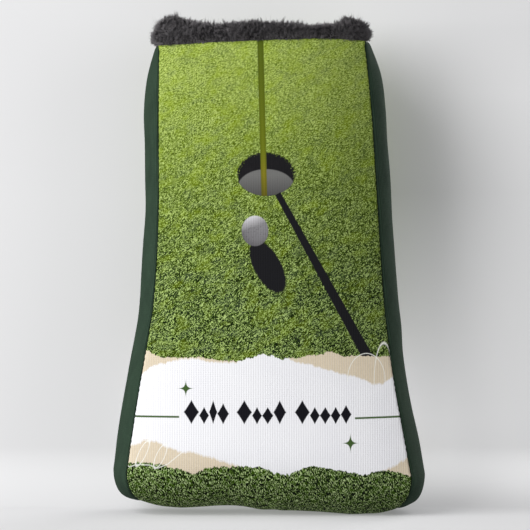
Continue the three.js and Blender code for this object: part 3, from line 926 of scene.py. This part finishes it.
# Sections of the roll and of its core: depths in from the shell and heights above the mouth.
FUR_CONTOUR = [
    [0.0, 0.0], [-0.4, 1.5], [-0.6, 3.5], [0.0, 5.2], [1.4, 6.3],
    [3.4, 6.5], [5.8, 5.9], [7.2, 4.6], [7.5, 2.8], [7.2, 0.4],
]
FUR_CORE = [[5.4, 0.4], [5.3, 3.0], [5.0, 5.0], [3.3, 5.2], [1.6, 5.0], [1.3, 3.0], [1.2, 0.4]]
FUR_STEPS, CORE_STEPS = 44, 20
BAND_DEPTH, BAND_HEIGHT, BAND_STEPS, BAND_WAVES = (3.3, 0.65), (2.6, 1.9), 24, 0.12


def mouth_outline():
    """Evenly spaced places round the mouth, with their directions out of it."""
    edge = [("front", np.linspace(-1, 1, 80)), ("right", np.linspace(-1, 1, 30)),
            ("back", np.linspace(1, -1, 80)), ("left", np.linspace(1, -1, 30))]
    loop = np.concatenate([PATCHES[n][0](across, np.zeros(1), RING_DEPTH)[:-1, :2] for n, across in edge])
    loop = np.concatenate([loop, loop[:1]])
    run = run_along(loop)
    even = np.linspace(0, run[-1], RING_STATIONS, endpoint=False)
    ring = np.stack([np.interp(even, run, loop[:, k]) for k in range(2)], -1)
    reach = np.arange(-12, 13)
    weights = np.exp(-(reach * run[-1] / RING_STATIONS / RING_SMOOTHING) ** 2 / 2)
    ring = sum(w * np.roll(ring, k, 0) for k, w in zip(reach, weights / weights.sum()))
    ahead = unit(np.roll(ring, -1, 0) - np.roll(ring, 1, 0))
    return ring, np.stack([ahead[:, 1], -ahead[:, 0]], -1)


RING, RING_OUT = mouth_outline()


def on_ring(depth, height):
    """Places round the mouth at depths in from its outline and heights above it; rows are stations."""
    depth, height = depth + np.zeros((RING_STATIONS, 1)), height + np.zeros((RING_STATIONS, 1))
    end = RING_OUT[:, :1]
    outer = 1 - smoothstep(0.5, 4.0, depth)
    edge = (1 - smoothstep(0.0, 3.8, height)) * outer
    slim = np.where(end > 0, CUFF_SLIM["right"], CUFF_SLIM["left"]) * outer
    depth = depth + end**2 * (CUFF_TUCK * edge + slim)
    flat = RING[:, None] + RING_OUT[:, None] * (RING_DEPTH - depth)[..., None]
    lift = cuff_rise(flat[..., 0]) * np.clip((height - CUFF_CORE_TOP + 1.5) / 3.0, 0, 1.2)
    lift = lift - CUFF_DROOP * np.abs(RING_OUT[:, 1:]) ** 3 * edge
    return hang(np.concatenate([flat, (MOUTH_Z + height + lift)[..., None]], -1))


def contour(points, count):
    """A smooth line through points, as evenly spaced depths and heights."""
    points = np.array(points)
    run = run_along(points)
    return np.stack([spline(run, points[:, k])(np.linspace(0, run[-1], count)) for k in range(2)], -1)


def fur_roll():
    """Outer surface of the cuff under its pile, as a grid, and the way out of it at each point."""
    line = contour(FUR_CONTOUR, FUR_STEPS)
    slope = np.gradient(line, axis=0)
    inward, upward = unit(np.stack([-slope[:, 1], slope[:, 0]], -1)).T
    upward = np.broadcast_to(upward, (RING_STATIONS, FUR_STEPS))
    out = np.stack([-RING_OUT[:, :1] * inward, -RING_OUT[:, 1:] * inward, upward], -1)
    base = on_ring(line[:, 0], line[:, 1])
    lumps = noise(base, 11.0, 21) * 0.45 + noise(base, 5.0, 22) * 0.4 + noise(base, 2.2, 23) * 0.35
    free = np.sin(np.linspace(0, math.pi, FUR_STEPS)) ** 0.5  # the sewn edges stay put
    return base + out * (lumps * free)[..., None], out


def fur_backing(roll):
    core = contour(FUR_CORE, CORE_STEPS)
    points, faces = tube(np.concatenate([roll, on_ring(core[:, 0], core[:, 1])], 1))
    tone, tint = 0.2 + 0.3 * noise(points, 2.0, 24), 0.5 + 0.4 * noise(points, 1.0, 25)
    piece("fur_cuff_base", points, faces, "faux_fur", "fur_cuff", pile=np.stack([tone, tint, tint * 0], -1))


def strands(name, roots, ways, bends, lengths, widths, tints):
    """Tapered closed fibres, three-sided, as one piece."""
    side = unit(np.cross(ways, np.where(np.abs(ways[:, 2:]) < 0.8, [[0, 0, 1.0]], [[1.0, 0, 0]])))
    other = np.cross(ways, side)

    def spine(share):
        return roots + ways * (lengths * share)[:, None] + bends * (lengths * share**2)[:, None]

    corners = []
    for share, size in ((0.0, 1.0), (FIBRE_WAIST, 0.75)):
        for angle in 2 * math.pi * np.arange(3) / 3:
            offset = side * math.cos(angle) + other * math.sin(angle)
            corners.append(spine(share) + offset * (widths * size)[:, None])
    points = np.stack([*corners, spine(1.0)], 1)
    first = np.arange(len(roots))[:, None] * 7
    quads = [first + np.array([k, (k + 1) % 3, (k + 1) % 3 + 3, k + 3]) for k in range(3)]
    tips = [first + np.array([k + 3, (k + 1) % 3 + 3, 6]) for k in range(3)]
    along = np.broadcast_to([0, 0, 0, 0.6, 0.6, 0.6, 1.0], points.shape[:2])
    pile = np.stack([along, along * 0 + tints[:, None], along * 0], -1)
    ends = [*tips, first + np.array([2, 1, 0])]
    piece(name, points, [np.concatenate(quads), np.concatenate(ends)], "faux_fur", pile=pile)


def at_grid(grid, rows, cols):
    """Reads a grid that is closed along its rows at fractional places."""
    i, j = np.floor(rows).astype(int), np.clip(np.floor(cols).astype(int), 0, grid.shape[1] - 2)
    a, b = (rows - i)[:, None], (cols - j)[:, None]
    i, ahead = i % grid.shape[0], (i + 1) % grid.shape[0]
    low = grid[i, j] * (1 - b) + grid[i, j + 1] * b
    high = grid[ahead, j] * (1 - b) + grid[ahead, j + 1] * b
    return low * (1 - a) + high * a


FUR_SEED = 7
FUR_COUNT = 52000
FUR_LENGTH, FUR_RADIUS, GUARD_RADIUS, FIBRE_WAIST = 2.7, 0.09, 0.05, 0.55
FUR_ROOT = 0.15  # how far a fibre starts inside the roll
TUFT_ROWS, TUFT_COLS = 2.0, 2.6  # the roll's rows and columns that one tuft takes up
GATHERED = 0.5  # how far a tuft's tips draw together
GUARD_SHARE = 0.1  # fine hairs that stand out of the pile on their own
SEAM_COLUMNS = 9.0  # the roll's columns that count as beside a sewn edge
FRONT_Y, LEFT_X, RIGHT_X = 14, -48, 42  # where one side's pile hands over to the next


def fur_pile(roll, out):
    rng = np.random.default_rng(FUR_SEED)
    rows = rng.uniform(0, RING_STATIONS, FUR_COUNT)
    cols = rng.uniform(1.0, FUR_STEPS - 2.0, FUR_COUNT)
    root, way = at_grid(roll, rows, cols), at_grid(out, rows, cols)
    low = 1 - smoothstep(1.0, SEAM_COLUMNS, np.minimum(cols, FUR_STEPS - 1 - cols))
    shift = noise(root, 3.0, 30) * 0.6
    cell = np.floor(rows / TUFT_ROWS + shift) * 100 + np.floor(cols / TUFT_COLS + shift)
    _, tuft = np.unique(cell, return_inverse=True)
    size = np.bincount(tuft)
    middle = np.stack([np.bincount(tuft, root[:, k]) / size for k in range(3)], -1)[tuft]
    lay = np.stack([noise(root, 8.0, seed) for seed in (31, 32, 33)], -1)
    lean = (rng.normal(0, 0.38, (len(size), 3)))[tuft]
    stray = rng.normal(0, 1, (FUR_COUNT, 3))
    heading = way + lay * 0.45 + lean * 0.6 + stray * 0.16
    heading[:, 2] -= 0.35 * low
    heading = unit(heading)
    reach = (0.85 + rng.normal(0, 0.13, len(size))[tuft]) * (1 - 0.5 * low)
    reach = reach + 0.15 * noise(root, 6.0, 37) + rng.uniform(-0.15, 0.15, FUR_COUNT)
    length = FUR_LENGTH * np.clip(reach, 0.35, 1.4)
    tip = root + heading * length[:, None]
    shared = middle + (way * 0.9 + lay * 0.45 + lean) * length[:, None]
    tip += (shared - tip) * GATHERED
    guard = rng.random(FUR_COUNT) < GUARD_SHARE
    tip[guard] = (root + (way + stray * 0.4) * (length * 1.05)[:, None])[guard]
    bend = (tip - root) / length[:, None] - heading
    width = np.where(guard, GUARD_RADIUS, FUR_RADIUS * rng.uniform(0.7, 1.2, FUR_COUNT))
    tint = 0.5 + rng.normal(0, 0.16, len(size))[tuft] + rng.normal(0, 0.1, FUR_COUNT)
    # Painted light: the pile is paler beside the sewn edge, where the roll's lower edge catches the light.
    tint = np.clip(tint + 0.45 * (1 - smoothstep(1.0, SEAM_COLUMNS, cols)), 0, 1.2)  # painted light: paler beside the seam
    past = [-FRONT_Y - root[:, 1], root[:, 1] - FRONT_Y, LEFT_X - root[:, 0], root[:, 0] - RIGHT_X]
    sides = np.argmax(past, axis=0)
    for number, side in enumerate(("front", "back", "left", "right")):
        mine = sides == number
        start = root[mine] - way[mine] * FUR_ROOT
        strands(f"fur_pile_{side}", start, heading[mine], bend[mine], length[mine], width[mine], tint[mine])


def elastic_band():
    turns = np.linspace(0, 2 * math.pi, BAND_STEPS, endpoint=False)
    depth, height = [
        middle + half * np.sign(way(turns)) * np.abs(way(turns)) ** 0.5
        for (middle, half), way in ((BAND_DEPTH, np.cos), (BAND_HEIGHT, np.sin))
    ]
    waves = BAND_WAVES * np.sin(np.arange(RING_STATIONS) * 2 * math.pi / 7)[:, None]
    points, faces = tube(on_ring(depth + waves, height))
    piece("elastic_ring", points, faces, "elastic_band", "cuff_elastic")


# --- The assembly

SHELLS = {
    "front": ("front_panel", "printed_knit"), "back": ("back_panel", "printed_knit"),
    "left": ("left_gusset", "green_knit"), "right": ("right_gusset", "green_knit"),
}
for patch, (node, finish) in SHELLS.items():
    shell(patch, node, finish)
for patch in PATCHES:
    padding(patch)
    lining(patch)
for side in GUSSETS:
    cord(f"{side}_seam_stitching", tongue_seam(side, SHELL_THREAD), SHELL_CORD, f"{side}_side_seam_thread")
    cord(f"{side}_lining_stitching", tongue_seam(side, LINING_THREAD), LINING_CORD, f"{side}_lining_thread")
cord("base_seam_stitching", base_seam(SHELL_THREAD), SHELL_CORD, "base_seam_thread")
cord("base_lining_stitching", base_seam(LINING_THREAD), LINING_CORD, "base_lining_thread")
around_mouth = on_ring(MOUTH_THREAD, -MOUTH_THREAD_DROP)[:, 0]
cord("mouth_seam_stitching", around_mouth, SHELL_CORD, "mouth_seam_thread", closed=True)
cuff, cuff_out = fur_roll()
fur_backing(cuff)
fur_pile(cuff, cuff_out)
elastic_band()


# --- Studio

WALL_Y, WALL_BEND = 0.041, 0.026
REACH, FLOOR_FRONT, WALL_TOP, BEND_STEPS = 1.6, -2.2, 1.6, 24


def backdrop_finish():
    """Pale card with painted shade near the top and a painted glow low on the wall and on the floor; it fades
    out far away and for a camera that doesn't look at its front.
    """
    g = Graph("backdrop", roughness=1.0, specular=0.0)
    normal = {0: g.node("NewGeometry", output="Incoming"), 1: g.node("NewGeometry", output="True Normal")}
    towards = g.node("VectorMath", normal, "Value", operation="DOT_PRODUCT")
    level = g.split(g.node("NewGeometry", output="Normal"))[2]
    place = g.place()
    x, y, z = g.split(place)
    pale = g.mix((232, 232, 233), (236, 236, 237), g.noise(place, 420.0, 1.0))
    # Painted shade: darker towards the top, and more so at the upper right.
    pale = g.mix(pale, (188, 188, 189), g.step(180.0, z, 80.0) * 0.12)
    pale = g.mix(pale, (188, 188, 189), g.step(205.0, z, 30.0) * g.step(45.0, x, 90.0) * 0.3)
    g.set("Base Color", g.mix(pale, (190, 190, 191), level))
    g.set("Emission Color", (240, 240, 241))
    # Painted light: the wall glows at its lower right and the floor glows, weaker to the right, standing in
    # for light thrown back up from the floor.
    painted_bounce = g.step(-92.0, 0.0 - z, 104.0) * (1.0 - g.step(102.0, x, 36.0) * 0.65) * 0.34 + 0.045
    painted_bounce = painted_bounce * g.step(20.0, x, 40.0)
    floor_glow = 0.3 - g.step(30.0, x, 60.0) * 0.07 + (1.0 - level) * 0.7 * g.step(20.0, x, 40.0)
    g.set("Emission Strength", g.blend(painted_bounce, floor_glow, level))
    seen = g.step(0.32, g.most(towards, level), 0.2) * (1.0 - g.node("NewGeometry", output="Backfacing"))
    seen = seen * (1.0 - g.step(520.0, g.length(x, y), 400.0))
    mixed = g.node("MixShader", {0: seen, 1: g.node("BsdfTransparent"), 2: Value(g, g.shader.outputs[0])})
    g.put(g.tree.nodes["Material Output"].inputs["Surface"], mixed)
    return g.material


def backdrop():
    """A floor that curves up into a wall."""
    turns = np.linspace(0, math.pi / 2, BEND_STEPS)
    profile = [(FLOOR_FRONT, 0.0)]
    profile += [(WALL_Y - WALL_BEND * (1 - math.sin(a)), WALL_BEND * (1 - math.cos(a))) for a in turns]
    profile += [(WALL_Y, WALL_TOP)]
    count = len(profile)
    mesh = bpy.data.meshes.new("backdrop")
    mesh.from_pydata([(x, y, z) for x in (-REACH, REACH) for y, z in profile], [],
                     [(i, i + count, i + count + 1, i + 1) for i in range(count - 1)])
    mesh.materials.append(backdrop_finish())
    mesh.shade_smooth()
    made = linked("backdrop", mesh)
    made.visible_diffuse = made.visible_glossy = made.visible_shadow = False


def aimed(made, place, aim):
    made.location = place
    made.rotation_euler = (Vector(aim) - Vector(place)).to_track_quat("-Z", "Y").to_euler()


def soft_light(name, place, size, power):
    data = bpy.data.lights.new(name, "AREA")
    data.shape = "SQUARE"
    data.size = size
    data.energy = power
    aimed(linked(name, data), place, (0, 0, 0.12))


def studio_world():
    """A pale surround, dimmer as a light than as the camera sees it."""
    world = bpy.data.worlds.new("studio")
    world.use_nodes = True
    tree = world.node_tree
    shown = tree.nodes.new("ShaderNodeLightPath")
    brighter = tree.nodes.new("ShaderNodeMapRange")
    brighter.inputs["To Min"].default_value, brighter.inputs["To Max"].default_value = 0.4, 0.98
    tree.links.new(shown.outputs["Is Camera Ray"], brighter.inputs["Value"])
    tree.links.new(brighter.outputs["Result"], tree.nodes["Background"].inputs["Strength"])
    tree.nodes["Background"].inputs["Color"].default_value = (0.82, 0.82, 0.825, 1)
    return world


backdrop()
soft_light("key", (-1.3, -0.95, 0.85), 1.6, 42)
soft_light("fill", (1.4, -1.0, 0.6), 1.0, 3.5)
soft_light("back", (0.9, 1.3, 0.8), 0.9, 14)
bpy.context.scene.world = studio_world()
bpy.context.scene.view_settings.view_transform = "Standard"

DISTANCE, SEEN_WIDTH, TILT = 1.3, 0.2345, math.radians(0.8)
AIM = Vector((-0.0018, -0.022, 0.1113))
camera_data = bpy.data.cameras.new("camera")
camera_data.lens = camera_data.sensor_width * DISTANCE / SEEN_WIDTH
camera = linked("camera", camera_data)
aimed(camera, AIM + Vector((0, -math.cos(TILT), math.sin(TILT))) * DISTANCE, AIM)
bpy.context.scene.camera = camera
